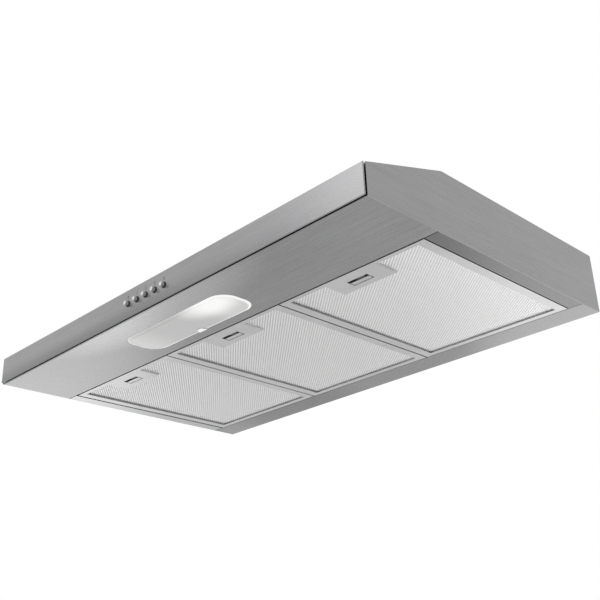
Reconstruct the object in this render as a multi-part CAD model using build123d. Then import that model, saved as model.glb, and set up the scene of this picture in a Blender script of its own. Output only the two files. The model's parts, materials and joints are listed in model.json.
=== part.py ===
from build123d import *
import math
import os

# Outer casing. X runs across the hood from its middle, Y back from the front face, Z up from the underside.
hood_width = 762.0
hood_depth = 470.0
hood_height = 84.0
front_height = 41.0
crest_setback = 137.0
sheet = 0.8
bend_radius = 0.6
seam = 0.4
deck_lap = 12.0

# Front fascia, which stands off the casing and leaves a shadow gap
fascia_thickness = 1.2
fascia_gap = 2.0
fascia_lift = 1.0
fascia_end_inset = 1.0
fascia_edge_radius = 0.8
fascia_boss_radius = 4.0
fascia_boss_inset = 40.0
fascia_boss_drop = 10.0

# Underside panels
side_flange_width = 21.0
flange_rear_gap = 1.6
rear_strip_width = 42.5
hem_radius = 1.0
lamp_panel_depth = 120.7
lamp_front_flange = 9.0
front_wall_lap = 4.0
strike_height = 14.0

# Push buttons and their switch block
button_count = 5
button_pitch = 19.6
button_radius = 2.9
button_reach = 6.0
button_travel = 3.5
button_edge_radius = 0.5
button_skirt = 0.9
stem_radius = 1.8
stem_length = 8.5
bush_wall = 0.8
bush_lip = 0.4
bush_lip_thickness = 0.7
bush_length = 2.4
button_clearance = 0.3
stem_clearance = 0.05
switch_standoff = 3.0
switch_back = 2.0
switch_height = 18.0
switch_end_margin = 18.0
switch_ear_length = 12.0
switch_ear_height = 12.0
switch_ear_thickness = 4.5
window_margin = 1.6

# Lamp, its tray and its lens, which sit a little to the left of the middle
lens_offset = -4.5
lens_length = 219.0
lens_width = 62.0
lens_corner = 24.0
lens_rear_margin = 18.7
lens_drop = 2.0
lens_bevel = 5.0
lens_floor = 2.4
lens_wall = 1.8
lens_rise = 8.0
lens_gap = 0.4
lens_tab_width = 16.0
lens_tab_depth = 8.0
lens_tab_height = 1.0
tray_margin = 6.0
tray_height = 33.0
tray_flange = 14.0
holder_radius = 11.0
holder_length = 24.0
holder_drop = 1.5
bulb_radius = 10.0
bulb_length = 62.0
bulb_cap_radius = 6.8
bulb_cap_length = 18.0
bulb_tip_radius = 8.0
bulb_clearance = 0.3
clip_width = 14.0
clip_height = 6.0
clip_foot = 5.5
clip_gap = 0.3

# Grease filters, three in a row, each hooked at the rear and caught at the front
filter_count = 3
filter_gap = 2.4
filter_lift = 0.5
filter_height = 9.0
filter_sheet = 0.8
filter_band_side = 13.0
filter_band_front = 7.0
filter_band_rear = 9.0
filter_top_flange = 8.0
filter_rear_gap = 0.5
mesh_recess = 2.5
mesh_thickness = 0.8
mesh_pitch_x = 21.0
mesh_pitch_y = 22.0
mesh_strand = 2.4
core_sheet = 0.5
core_pitch = 17.0
core_clearance = 0.3
hook_width = 24.0
hook_spread = 140.0
hook_length = 9.0
hook_thickness = 1.0
hook_clearance = 0.3

# Filter catches
catch_plate_width = 85.0
catch_plate_depth = 43.0
catch_slot_width = 33.0
catch_slot_depth = 14.0
catch_slot_setback = 18.0
catch_cup_margin = 5.0
catch_cup_height = 6.8
catch_bar_depth = 6.8
catch_bar_clearance = 1.6
catch_wing_margin = 4.5
catch_wing_thickness = 1.2
catch_lift = 0.3
catch_bolt_width = 14.0
catch_bolt_thickness = 1.6
catch_bolt_rise = 1.3
catch_bolt_inset = 0.2
catch_window_clearance = 0.5

# Blower, hung from the deck
scroll_radius = 94.0
scroll_step = 13.0
scroll_wall = 1.6
scroll_rear_clearance = 30.0
scroll_side_gap = 19.0
tongue_rise = 58.0
wheel_radius = 80.0
wheel_height = 38.0
wheel_top_gap = 13.0
wheel_floor_gap = 5.4
wheel_plate = 1.5
blade_count = 36
blade_depth = 12.0
blade_thickness = 1.0
blade_angle = 35.0
dish_radius = 47.0
hub_radius = 11.0
hub_length = 12.0
hub_gap = 0.6
shaft_radius = 4.0
shaft_tail = 7.0
press_clearance = 0.02
bearing_clearance = 0.05
bearing_radius = 8.0
bearing_length = 8.0
bearing_boss_wall = 4.0
motor_radius = 42.0
motor_height = 30.0
motor_wall = 1.5
motor_plate_thickness = 1.5
motor_plate_size = 122.0
motor_boss_drop = 4.0
motor_screw_circle = 52.0
motor_screw_count = 3
stator_bore = 23.4
stator_length = 12.0
stator_lift = 7.0
stator_clearance = 0.1
rotor_air_gap = 0.4
winding_length = 3.6
winding_inner = 26.0
winding_outer = 37.0
nut_radius = 7.5
nut_length = 5.0
inlet_radius = 58.0
inlet_wall = 1.6
inlet_flange = 14.0
inlet_reach = 3.0
inlet_clearance = 0.3
guard_thickness = 1.6
guard_bar = 2.5
guard_rings = 3
guard_spokes = 6

# Duct collar and its two backdraught flaps
collar_radius = 75.0
collar_wall = 1.0
collar_height = 45.0
collar_flange = 13.0
collar_clearance = 1.5
collar_rivet_count = 4
collar_rivet_radius = 1.6
collar_rivet_head = 3.0
collar_rivet_head_height = 1.2
plenum_margin = 4.0
ledge_lift = 3.0
ledge_depth = 2.5
ledge_thickness = 1.0
flap_thickness = 0.6
flap_rim_gap = 0.8
flap_rest_gap = 0.3
flap_knuckle_radius = 1.8
flap_knuckle_length = 20.0
flap_knuckle_gap = 5.0
flap_hinge_gap = 0.5
flap_pin_radius = 1.0
flap_pin_clearance = 0.05
flap_pin_rise = 1.6
flap_pin_inset = 0.4

# Electrics under the deck
terminal_gap = 80.0
terminal_length = 96.0
terminal_width = 64.0
terminal_height = 34.0
terminal_wall = 1.2
terminal_setback = 150.0
terminal_lug = 12.0
terminal_lug_thickness = 2.0
cable_bore_radius = 11.0
cable_bore_offset = 22.0
cable_deck_clearance = 2.0
block_length = 30.0
block_width = 40.0
block_height = 18.0
block_offset = 20.0
post_radius = 3.5
post_inset = 6.0
capacitor_radius = 14.0
capacitor_length = 50.0
capacitor_gap = 50.0
capacitor_strap = 1.2
capacitor_strap_width = 14.0
capacitor_foot = 14.0
capacitor_clearance = 0.2
capacitor_setback = 113.0
lead_radius = 2.5
lead_bend = 25.0
lead_drop = 8.0
lead_front_gap = 4.0
lead_clearance = 0.3
lead_clip_wall = 1.0
lead_clip_width = 8.0
lead_clip_clearance = 0.1
lead_clip_count = 3
lead_knee = 150.0

# Fasteners
deck_screw_radius = 2.0
deck_screw_head = 3.6
deck_screw_head_height = 2.4
small_screw_radius = 1.5
small_screw_head = 2.8
small_screw_head_height = 1.8
screw_clearance = 0.1
screw_flush = 0.2
lug_size = 14.0
lug_thickness = 3.0
mount_hole_radius = 3.25
mount_span_x = 560.0
mount_span_y = 230.0

# Places worked out from the sizes above
half_width = hood_width / 2
inner_half = half_width - sheet
fascia_half = half_width - fascia_end_inset
deck_under = hood_height - sheet
shell_front = fascia_thickness + fascia_gap
panel_front = shell_front + sheet
mount_y = (crest_setback + hood_depth) / 2
strip_front = hood_depth - rear_strip_width
hinge_y = strip_front + hem_radius
hinge_z = hem_radius
button_z = front_height / 2
switch_front = panel_front + switch_standoff
switch_depth = stem_length + button_travel + switch_back
switch_half = (button_count - 1) * button_pitch / 2 + switch_end_margin
lens_y = lamp_panel_depth - lens_rear_margin - lens_width / 2
tray_half_x = lens_length / 2 + lens_gap + tray_margin
tray_right = lens_offset + tray_half_x
tray_half_y = lens_width / 2 + lens_gap + tray_margin
tray_top = sheet + tray_height
lamp_z = tray_top - sheet - holder_drop - holder_radius
filter_front = lamp_panel_depth + filter_gap
filter_rear = strip_front - filter_rear_gap
filter_pitch = (hood_width - 2 * side_flange_width - filter_gap) / filter_count
filter_width = filter_pitch - filter_gap
filter_top = filter_lift + filter_height
mesh_z = filter_lift + mesh_recess
filter_names = ["left", "middle", "right"]
filter_centres = [(i - (filter_count - 1) / 2) * filter_pitch for i in range(filter_count)]
slot_front = filter_front + catch_slot_setback
slot_rear = slot_front + catch_slot_depth
plate_top = filter_lift + filter_sheet
wing_z = plate_top + catch_lift
bolt_z = wing_z + catch_wing_thickness + catch_bolt_rise
duct_rear = hood_depth - sheet - scroll_rear_clearance
fan_y = duct_rear - scroll_radius - 3 * scroll_step
plenum_half = collar_radius + collar_flange + plenum_margin
fan_x = -(plenum_half + scroll_wall + scroll_side_gap + scroll_radius)
collar_y = duct_rear - plenum_half
wheel_top = deck_under - wheel_top_gap
wheel_bottom = wheel_top - wheel_height
scroll_floor = wheel_bottom - wheel_floor_gap - scroll_wall
plate_under = deck_under - motor_plate_thickness
case_bottom = plate_under - motor_height
hub_top = case_bottom - motor_boss_drop - hub_gap
hub_bottom = hub_top - hub_length
boss_radius = bearing_radius + bearing_boss_wall
ledge_top = hood_height + ledge_lift + ledge_thickness
pin_z = ledge_top + flap_pin_rise
terminal_x = plenum_half + terminal_gap + terminal_length / 2
terminal_y = hood_depth - terminal_setback
terminal_floor = deck_under - terminal_height
cable_x = terminal_x + cable_bore_offset
capacitor_x = plenum_half + capacitor_gap
capacitor_y = crest_setback + capacitor_setback
capacitor_z = deck_under - capacitor_strap - capacitor_clearance - capacitor_radius
lead_z = deck_under - lead_drop
fan_front = fan_y - scroll_radius - scroll_wall
lead_room = fan_front - crest_setback - deck_lap
lead_y = fan_front - lead_room / 2
entry_bend = lead_room / 2 - lead_front_gap


def box(x0, x1, y0, y1, z0, z1):
    place = Pos((x0 + x1) / 2, (y0 + y1) / 2, (z0 + z1) / 2)
    return place * Box(x1 - x0, y1 - y0, z1 - z0)


def rod_x(x0, x1, y, z, radius):
    return Pos((x0 + x1) / 2, y, z) * Rot(0, 90, 0) * Cylinder(radius, x1 - x0)


def rod_y(x, y0, y1, z, radius):
    return Pos(x, (y0 + y1) / 2, z) * Rot(90, 0, 0) * Cylinder(radius, y1 - y0)


def rod_z(x, y, z0, z1, radius):
    return Pos(x, y, (z0 + z1) / 2) * Cylinder(radius, z1 - z0)


def ring_z(x, y, z0, z1, outer, inner):
    return rod_z(x, y, z0, z1, outer) - rod_z(x, y, z0, z1, inner)


def lens_slab(length, width, corner, z0, z1):
    place = Pos(lens_offset, lens_y, z0)
    return extrude(place * RectangleRounded(length, width, corner), amount=z1 - z0)


def polar_places(count, radius, start):
    angles = [math.radians(start + i * 360 / count) for i in range(count)]
    return [(radius * math.cos(a), radius * math.sin(a)) for a in angles]


def offset_path(path, distance):
    # Moves a run of points to its left by a distance, with mitred corners
    ways = [(Vector(*b) - Vector(*a)).normalized() for a, b in zip(path, path[1:])]
    sides = [Vector(-w.Y, w.X) for w in ways]
    moved = [Vector(*path[0]) + sides[0] * distance]
    for point, one, two in zip(path[1:], sides, sides[1:]):
        moved.append(Vector(*point) + (one + two) * (distance / (1 + one.dot(two))))
    moved.append(Vector(*path[-1]) + sides[-1] * distance)
    return [(p.X, p.Y) for p in moved]


def round_corner(face, point, radius):
    corner = min(face.vertices(), key=lambda v: (v.center() - Vector(*point)).length)
    return fillet(corner, radius)


def folded(path, thickness, bend, x0, x1):
    # A sheet folded along X: its face follows the path in Y and Z, its thickness lies to the left
    inside = offset_path(path, thickness)
    face = make_face(Polyline(*path, *reversed(inside), close=True))
    for i in range(1, len(path) - 1):
        before = Vector(*path[i]) - Vector(*path[i - 1])
        after = Vector(*path[i + 1]) - Vector(*path[i])
        left_turn = before.cross(after).Z > 0
        face = round_corner(face, path[i], bend + thickness * left_turn)
        face = round_corner(face, inside[i], bend + thickness * (not left_turn))
    return Pos(x0, 0, 0) * extrude(Plane.YZ * face, amount=x1 - x0)


def deck_screw_places():
    # Each screw under the deck: its place and the underside that its head seats on
    places = [(x, y, deck_under - lug_thickness) for x, y, _, _ in scroll_lugs()]
    for x, y in polar_places(motor_screw_count, motor_screw_circle, 90):
        places.append((fan_x + x, fan_y + y, plate_under))
    for side in (-1, 1):
        lug_x = terminal_x + side * (terminal_length + terminal_lug) / 2
        places.append((lug_x, terminal_y, deck_under - terminal_lug_thickness))
    foot_x = capacitor_x + capacitor_radius + capacitor_strap + capacitor_foot / 2
    places.append((foot_x, capacitor_y, deck_under - capacitor_strap))
    return places


def scroll_lugs():
    # Middle of each lug that hangs the scroll from the deck, and the way to the wall it stands on
    reach = plenum_half + scroll_wall + lug_size / 2
    left = fan_x - scroll_radius - scroll_step - scroll_wall - lug_size / 2
    return [
        (left, fan_y + scroll_step, 1, 0),
        (0, collar_y - reach, 0, 1),
        (reach, collar_y, -1, 0),
        (fan_x + scroll_step, collar_y + reach, 0, -1),
    ]


def front_shell():
    path = [
        (crest_setback + deck_lap, deck_under),
        (crest_setback, deck_under),
        (shell_front, front_height),
        (shell_front, lamp_front_flange - front_wall_lap),
    ]
    shell = folded(path, sheet, bend_radius, -inner_half, inner_half)
    window_half_x = (button_count - 1) * button_pitch / 2 + button_radius + window_margin
    window_half_z = button_radius + window_margin
    shell -= box(
        -window_half_x,
        window_half_x,
        shell_front - sheet,
        panel_front + sheet,
        button_z - window_half_z,
        button_z + window_half_z,
    )
    for x in switch_screw_places():
        hole = small_screw_radius + screw_clearance
        shell -= rod_y(x, shell_front - sheet, panel_front + sheet, button_z, hole)
    return shell


def top_deck():
    deck = box(-inner_half, inner_half, crest_setback, hood_depth, deck_under, hood_height)
    low = deck_under - sheet
    high = hood_height + sheet
    deck -= rod_z(0, collar_y, low, high, collar_radius + collar_clearance)
    deck -= rod_z(cable_x, terminal_y, low, high, cable_bore_radius + cable_deck_clearance)
    for x in (-mount_span_x / 2, mount_span_x / 2):
        for y in (-mount_span_y / 2, mount_span_y / 2):
            deck -= rod_z(x, mount_y + y, low, high, mount_hole_radius)
    for x, y, seat in deck_screw_places():
        deck -= rod_z(x, y, low, high, deck_screw_radius + screw_clearance)
    for x, y in collar_rivet_places():
        deck -= rod_z(x, y, low, high, collar_rivet_radius + screw_clearance)
    return deck


def end_panel(side):
    profile = [
        (shell_front, 0),
        (hood_depth, 0),
        (hood_depth, hood_height),
        (crest_setback, hood_height),
        (shell_front, front_height),
    ]
    wall = extrude(Plane.YZ * make_face(Polyline(*profile, close=True)), amount=sheet)
    panel = Pos(inner_half, 0, 0) * wall
    panel += box(
        half_width - side_flange_width,
        half_width,
        lamp_panel_depth + seam,
        strip_front - flange_rear_gap,
        0,
        sheet,
    )
    edges = panel.edges().filter_by(Axis.Y).group_by(Axis.Z)[0].sort_by(Axis.X)
    panel = fillet(edges[-1], min(bend_radius, 0.8 * sheet))
    return panel if side > 0 else mirror(panel, about=Plane.YZ)


def rear_panel():
    panel = box(-inner_half, inner_half, hood_depth - sheet, hood_depth, 0, deck_under)
    panel += box(-inner_half, inner_half, hinge_y, hood_depth, 0, sheet)
    return panel + rod_x(-inner_half, inner_half, hinge_y, hinge_z, hem_radius)


def lamp_panel():
    path = [
        (panel_front, lamp_front_flange),
        (panel_front, 0),
        (lamp_panel_depth, 0),
        (lamp_panel_depth, strike_height),
    ]
    panel = folded(path, sheet, bend_radius, -inner_half, inner_half)
    opening = 2 * lens_gap
    corner = lens_corner + lens_gap
    panel -= lens_slab(lens_length + opening, lens_width + opening, corner, -sheet, 2 * sheet)
    for x in filter_centres:
        panel -= bolt_window(x, lamp_panel_depth - 2 * sheet, lamp_panel_depth + sheet)
    return panel


def bolt_window(x, y0, y1):
    half = catch_bolt_width / 2 + catch_window_clearance
    low = bolt_z - catch_window_clearance
    high = bolt_z + catch_bolt_thickness + catch_window_clearance
    return box(x - half, x + half, y0, y1, low, high)


def button_places():
    return [(i - (button_count - 1) / 2) * button_pitch for i in range(button_count)]


def front_fascia():
    plate = box(-fascia_half, fascia_half, 0, fascia_thickness, fascia_lift, front_height)
    front_edges = plate.faces().sort_by(Axis.Y)[0].edges()
    plate = fillet(front_edges, min(fascia_edge_radius, 0.7 * fascia_thickness))
    for x in button_places():
        hole = button_radius + button_clearance + bush_wall + screw_clearance
        plate -= rod_y(x, -sheet, fascia_thickness + sheet, button_z, hole)
    for share in (-1, -0.5, 0.5, 1):
        x = share * (half_width - fascia_boss_inset)
        z = front_height - fascia_boss_drop
        plate += rod_y(x, fascia_thickness, shell_front, z, fascia_boss_radius)
    return plate


def button_bush(x):
    bore = button_radius + button_clearance
    bush = rod_y(x, 0, bush_length, button_z, bore + bush_wall)
    bush += rod_y(x, -bush_lip_thickness, 0, button_z, bore + bush_wall + bush_lip)
    return bush - rod_y(x, -fascia_gap, bush_length + fascia_gap, button_z, bore)


def button(x):
    cap = rod_y(x, -button_reach, button_skirt, button_z, button_radius)
    rim = cap.faces().sort_by(Axis.Y)[0].edges()
    cap = fillet(rim, button_edge_radius)
    return cap + rod_y(x, button_skirt, switch_front + stem_length, button_z, stem_radius)


def switch_screw_places():
    reach = switch_half + switch_ear_length / 2
    return [-reach, reach]


def switch_block():
    rear = switch_front + switch_depth
    half_z = switch_height / 2
    block = box(-switch_half, switch_half, switch_front, rear, button_z - half_z, button_z + half_z)
    reach = switch_half + switch_ear_length
    ear_z = switch_ear_height / 2
    ear_rear = panel_front + switch_ear_thickness
    for side in (-1, 1):
        x0, x1 = sorted((side * (switch_half - sheet), side * reach))
        block += box(x0, x1, panel_front, ear_rear, button_z - ear_z, button_z + ear_z)
    for x in switch_screw_places():
        block -= rod_y(x, shell_front, rear, button_z, small_screw_radius + screw_clearance)
    floor = switch_front + stem_length + button_travel + switch_back / 2
    for x in button_places():
        block -= rod_y(x, shell_front, floor, button_z, stem_radius + stem_clearance)
    return block


def lens():
    cover = lens_slab(lens_length, lens_width, lens_corner, -lens_drop, lens_rise)
    bottom = cover.faces().sort_by(Axis.Z)[0]
    cover = chamfer(bottom.edges(), length=lens_bevel, length2=lens_drop, reference=bottom)
    inner = 2 * lens_wall
    hollow = lens_slab(
        lens_length - inner,
        lens_width - inner,
        lens_corner - lens_wall,
        lens_floor - lens_drop,
        lens_rise + lens_wall,
    )
    rear = lens_y + lens_width / 2 - lens_bevel / 2
    tab = make_face(
        Polyline(
            (-lens_tab_width / 2, rear),
            (lens_tab_width / 2, rear),
            (lens_tab_width / 4, rear - lens_tab_depth),
            (-lens_tab_width / 4, rear - lens_tab_depth),
            close=True,
        )
    )
    low = -lens_drop - lens_tab_height
    place = Pos(lens_offset, 0, low)
    return cover - hollow + place * extrude(tab, amount=lens_tab_height + lens_floor / 2)


def lamp_tray():
    out_x = tray_half_x + sheet
    out_y = tray_half_y + sheet
    tray = box(-out_x, out_x, lens_y - out_y, lens_y + out_y, sheet, tray_top)
    tray += box(
        -out_x - tray_flange,
        out_x + tray_flange,
        lens_y - out_y,
        lens_y + out_y,
        sheet,
        2 * sheet,
    )
    y0 = lens_y - tray_half_y
    y1 = lens_y + tray_half_y
    tray -= box(-tray_half_x, tray_half_x, y0, y1, 0, tray_top - sheet)
    return Pos(lens_offset, 0, 0) * tray


def lamp_holder():
    mouth = tray_right - holder_length
    holder = rod_x(mouth, tray_right, lens_y, lamp_z, holder_radius)
    socket = bulb_cap_radius + bulb_clearance
    return holder - rod_x(mouth, mouth + bulb_cap_length, lens_y, lamp_z, socket)


def lamp_bulb():
    # A tubular bulb that lies along the right half of the tray
    mouth = tray_right - holder_length
    glass = rod_x(mouth - bulb_length, mouth - bulb_clearance, lens_y, lamp_z, bulb_radius)
    tip = glass.faces().sort_by(Axis.X)[0].edges()
    glass = fillet(tip, bulb_tip_radius)
    end = mouth + bulb_cap_length - bulb_clearance
    return glass + rod_x(mouth - bulb_clearance, end, lens_y, lamp_z, bulb_cap_radius)


def lens_clip(side):
    # A leaf spring on the panel that bears on the end of the lens
    leaf = lens_length / 2 + clip_gap
    root = lens_length / 2 + lens_gap + sheet
    toe = leaf + clip_foot
    y0 = lens_y - clip_width / 2
    y1 = lens_y + clip_width / 2
    clip = box(leaf, leaf + sheet, y0, y1, 2 * sheet, clip_height)
    clip += box(leaf, toe, y0, y1, 2 * sheet, 3 * sheet)
    clip += box(root, toe, y0, y1, sheet, 2 * sheet)
    clip = clip if side > 0 else mirror(clip, about=Plane.YZ)
    return Pos(lens_offset, 0, 0) * clip


def small_screws():
    screws = []
    hold = small_screw_radius
    head = small_screw_head
    seat = panel_front + switch_ear_thickness
    for x in switch_screw_places():
        screw = rod_y(x, shell_front + screw_flush, seat, button_z, hold)
        screws.append(screw + rod_y(x, seat, seat + small_screw_head_height, button_z, head))
    for x, y in terminal_post_places():
        low = terminal_floor - terminal_wall
        screw = rod_z(x, y, low, deck_under - terminal_height / 2, hold)
        screws.append(screw + rod_z(x, y, low - small_screw_head_height, low, head))
    return screws


def filter_box(centre, inset_side, inset_front, inset_rear, z0, z1):
    half = filter_width / 2 - inset_side
    return box(centre - half, centre + half, filter_front + inset_front, filter_rear - inset_rear, z0, z1)


def catch_zone(centre, inset, z0, z1):
    half = catch_plate_width / 2 - inset
    rear = filter_front + catch_plate_depth - inset
    return box(centre - half, centre + half, filter_front + filter_sheet, rear, z0, z1)


def filter_frame(centre):
    wall = filter_sheet
    frame = filter_box(centre, 0, 0, 0, filter_lift, filter_top)
    frame -= filter_box(centre, wall, wall, wall, filter_lift + wall, filter_top - wall)
    bands = (filter_band_side, filter_band_front, filter_band_rear)
    frame -= filter_box(centre, *bands, 0, filter_lift + 2 * wall)
    top = filter_top_flange
    frame -= filter_box(centre, top, top, top, filter_top - 2 * wall, filter_top + wall)
    lip_outer = filter_box(centre, *[b - wall for b in bands], filter_lift, mesh_z)
    frame += lip_outer - filter_box(centre, *bands, 0, filter_top)
    frame -= catch_zone(centre, 0, 0, mesh_z + wall / 2)
    frame -= bolt_window(centre, filter_front - wall, filter_front + 2 * wall)
    hook_z = hinge_z + hem_radius + hook_clearance
    for x in (centre - hook_spread / 2, centre + hook_spread / 2):
        frame += box(
            x - hook_width / 2,
            x + hook_width / 2,
            filter_rear - wall,
            strip_front + hook_length,
            hook_z,
            hook_z + hook_thickness,
        )
    return frame


def mesh_sheet(x0, x1, y0, y1, low_x, high_x, low_y, high_y):
    # A sheet with staggered diamond gaps between the low and high lines
    outline = Polyline((x0, y0), (x1, y0), (x1, y1), (x0, y1), close=True)
    columns = max(1, round((high_x - low_x) / mesh_pitch_x))
    rows = max(1, round((high_y - low_y) / mesh_pitch_y))
    step_x = (high_x - low_x) / columns
    step_y = (high_y - low_y) / rows
    half_x = (step_x - mesh_strand) / 2
    half_y = (step_y - mesh_strand) / 2
    gaps = []
    for row in range(2 * rows - 1):
        odd = row % 2
        for column in range(columns - odd):
            x = low_x + step_x * (column + (1 + odd) / 2)
            y = low_y + step_y * (row + 1) / 2
            points = [(x - half_x, y), (x, y - half_y), (x + half_x, y), (x, y + half_y)]
            gaps.append(Wire(Polyline(*points, close=True).edges()))
    face = Face(Wire(outline.edges()), gaps)
    return Pos(0, 0, mesh_z) * extrude(face, amount=mesh_thickness)


def filter_mesh(centre):
    # Three sheets that meet edge to edge, one behind the catch plate and one at each side of it
    inset = filter_sheet + core_clearance
    x0 = centre - filter_width / 2 + inset
    x1 = centre + filter_width / 2 - inset
    y0 = filter_front + inset
    y1 = filter_rear - inset
    low_x = centre - filter_width / 2 + filter_band_side
    high_x = centre + filter_width / 2 - filter_band_side
    low_y = filter_front + filter_band_front
    high_y = filter_rear - filter_band_rear
    left = centre - catch_plate_width / 2 + filter_sheet
    right = centre + catch_plate_width / 2 - filter_sheet
    middle = filter_front + catch_plate_depth - filter_sheet
    return [
        mesh_sheet(x0, x1, middle, y1, low_x, high_x, middle, high_y),
        mesh_sheet(x0, left, y0, middle, low_x, left, low_y, middle),
        mesh_sheet(right, x1, y0, middle, right, high_x, low_y, middle),
    ]


def filter_core(centre):
    # A pleated foil between the mesh and the top flange
    low = mesh_z + mesh_thickness + core_sheet
    high = filter_top - filter_sheet - core_clearance - core_sheet
    half = filter_width / 2 - filter_sheet - core_clearance
    pleats = max(2, int(2 * half / core_pitch))
    points = []
    for i in range(pleats + 1):
        points.append((centre - half + i * 2 * half / pleats, low if i % 2 == 0 else high))
    lower = offset_path(points, -core_sheet / 2)
    upper = offset_path(points, core_sheet / 2)
    face = make_face(Polyline(*lower, *reversed(upper), close=True))
    start = filter_front + filter_sheet + core_clearance
    length = filter_rear - filter_sheet - core_clearance - start
    core = Pos(0, start, 0) * extrude(Plane.XZ * face, amount=-length)
    return core - catch_zone(centre, -filter_sheet, 0, filter_top)


def catch_plate(centre):
    # The plain plate at the filter's front middle, with its finger slot and the cup behind it
    wall = filter_sheet
    plate = catch_zone(centre, 0, filter_lift, mesh_z)
    front = filter_front + wall
    half = catch_plate_width / 2 - wall
    plate -= box(
        centre - half,
        centre + half,
        front - wall,
        filter_front + catch_plate_depth - wall,
        plate_top,
        filter_top,
    )
    cup_half = catch_slot_width / 2 + catch_cup_margin
    cup_front = slot_front - catch_cup_margin / 2
    cup_rear = slot_rear + catch_cup_margin
    cup_top = plate_top + catch_cup_height
    plate += box(centre - cup_half, centre + cup_half, cup_front, cup_rear, plate_top, cup_top)
    plate -= box(
        centre - cup_half + wall,
        centre + cup_half - wall,
        cup_front + wall,
        cup_rear - wall,
        plate_top,
        cup_top - wall,
    )
    slot_half = catch_slot_width / 2
    plate -= box(centre - slot_half, centre + slot_half, slot_front, slot_rear, 0, plate_top + wall)
    return plate - bolt_window(centre, cup_front - wall, cup_front + 2 * wall)


def catch_slide(centre):
    # Shown drawn back, with its bolt just inside the filter's front wall
    bar_rear = slot_rear - catch_bar_clearance
    bar_front = bar_rear - catch_bar_depth
    bar_half = catch_slot_width / 2 - catch_bar_clearance
    slide = box(centre - bar_half, centre + bar_half, bar_front, bar_rear, filter_lift, wing_z)
    wing_half = catch_slot_width / 2 + catch_cup_margin - catch_wing_margin / 2
    wing_top = wing_z + catch_wing_thickness
    wing_rear = bar_rear + catch_bar_clearance + 2 * sheet
    slide += box(centre - wing_half, centre + wing_half, bar_front, wing_rear, wing_z, wing_top)
    bolt_half = catch_bolt_width / 2
    bolt_top = bolt_z + catch_bolt_thickness
    slide += box(centre - bolt_half, centre + bolt_half, bar_front + sheet, bar_rear, wing_top, bolt_top)
    tip = filter_front + catch_bolt_inset
    return slide + box(centre - bolt_half, centre + bolt_half, tip, bar_rear, bolt_z, bolt_top)


def scroll_outline(inset):
    # A volute of three quarter turns, a straight duct and the square plenum under the collar
    one = (fan_x, fan_y)
    two = (fan_x, fan_y + scroll_step)
    three = (fan_x + scroll_step, fan_y + scroll_step)
    small = scroll_radius + scroll_wall - inset
    middle = small + scroll_step
    large = middle + scroll_step
    right = plenum_half + scroll_wall - inset
    front = collar_y - right
    rear = three[1] + large
    tongue = fan_y + tongue_rise + inset
    lines = [
        CenterArc(one, small, 0, -90),
        CenterArc(two, middle, -90, -90),
        CenterArc(three, large, 180, -90),
        Polyline(
            (three[0], rear),
            (right, rear),
            (right, front),
            (-right, front),
            (-right, tongue),
            (fan_x + small, tongue),
            (fan_x + small, fan_y),
        ),
    ]
    return make_face([edge for line in lines for edge in line.edges()])


def fan_scroll():
    scroll = Pos(0, 0, scroll_floor) * extrude(scroll_outline(0), amount=deck_under - scroll_floor)
    half = lug_size / 2
    for x, y, way_x, way_y in scroll_lugs():
        lug = box(x - half, x + half, y - half, y + half, deck_under - lug_thickness, deck_under)
        scroll += lug + Pos(way_x * scroll_wall, way_y * scroll_wall, 0) * lug
        scroll -= rod_z(x, y, scroll_floor, hood_height, deck_screw_radius + screw_clearance)
    inner_floor = scroll_floor + scroll_wall
    scroll -= Pos(0, 0, inner_floor) * extrude(scroll_outline(scroll_wall), amount=hood_height)
    scroll -= rod_z(fan_x, fan_y, 0, hood_height, inlet_radius + inlet_wall + inlet_clearance)
    hole = lead_radius + lead_clearance
    return scroll - rod_y(fan_x, fan_front - scroll_wall, fan_front + 2 * scroll_wall, lead_z, hole)


def inlet_ring():
    low = scroll_floor - inlet_wall
    outer = inlet_radius + inlet_wall
    ring = rod_z(fan_x, fan_y, low, scroll_floor, inlet_radius + inlet_flange)
    ring += rod_z(fan_x, fan_y, low, wheel_bottom + inlet_reach, outer)
    return ring - rod_z(fan_x, fan_y, 0, hood_height, inlet_radius)


def inlet_guard():
    high = scroll_floor - inlet_wall
    low = high - guard_thickness
    rim = inlet_radius + inlet_flange
    guard = ring_z(fan_x, fan_y, low, high, rim, inlet_radius)
    for i in range(guard_rings):
        radius = inlet_radius * (i + 1) / (guard_rings + 1)
        guard += ring_z(fan_x, fan_y, low, high, radius + guard_bar / 2, radius - guard_bar / 2)
    spoke = box(0, inlet_radius + guard_bar, -guard_bar / 2, guard_bar / 2, low, high)
    for i in range(guard_spokes):
        guard += Pos(fan_x, fan_y, 0) * Rot(0, 0, i * 360 / guard_spokes) * spoke
    return guard


def motor_plate():
    half = motor_plate_size / 2
    plate = box(fan_x - half, fan_x + half, fan_y - half, fan_y + half, plate_under, deck_under)
    low = plate_under - bearing_length
    plate += rod_z(fan_x, fan_y, low, plate_under, boss_radius)
    plate -= rod_z(fan_x, fan_y, low, plate_under, bearing_radius + press_clearance)
    for x, y in polar_places(motor_screw_count, motor_screw_circle, 90):
        hole = deck_screw_radius + screw_clearance
        plate -= rod_z(fan_x + x, fan_y + y, low, hood_height, hole)
    return plate


def motor_case():
    case = rod_z(fan_x, fan_y, case_bottom, plate_under, motor_radius)
    case -= rod_z(fan_x, fan_y, case_bottom + motor_wall, plate_under, motor_radius - motor_wall)
    low = case_bottom - motor_boss_drop
    high = low + bearing_length
    case += rod_z(fan_x, fan_y, low, high, boss_radius)
    return case - rod_z(fan_x, fan_y, low, high, bearing_radius + press_clearance)


def motor_bearings():
    bearings = []
    for low in (case_bottom - motor_boss_drop, plate_under - bearing_length):
        bore = shaft_radius + bearing_clearance
        bearings.append(ring_z(fan_x, fan_y, low, low + bearing_length, bearing_radius, bore))
    return bearings


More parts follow.
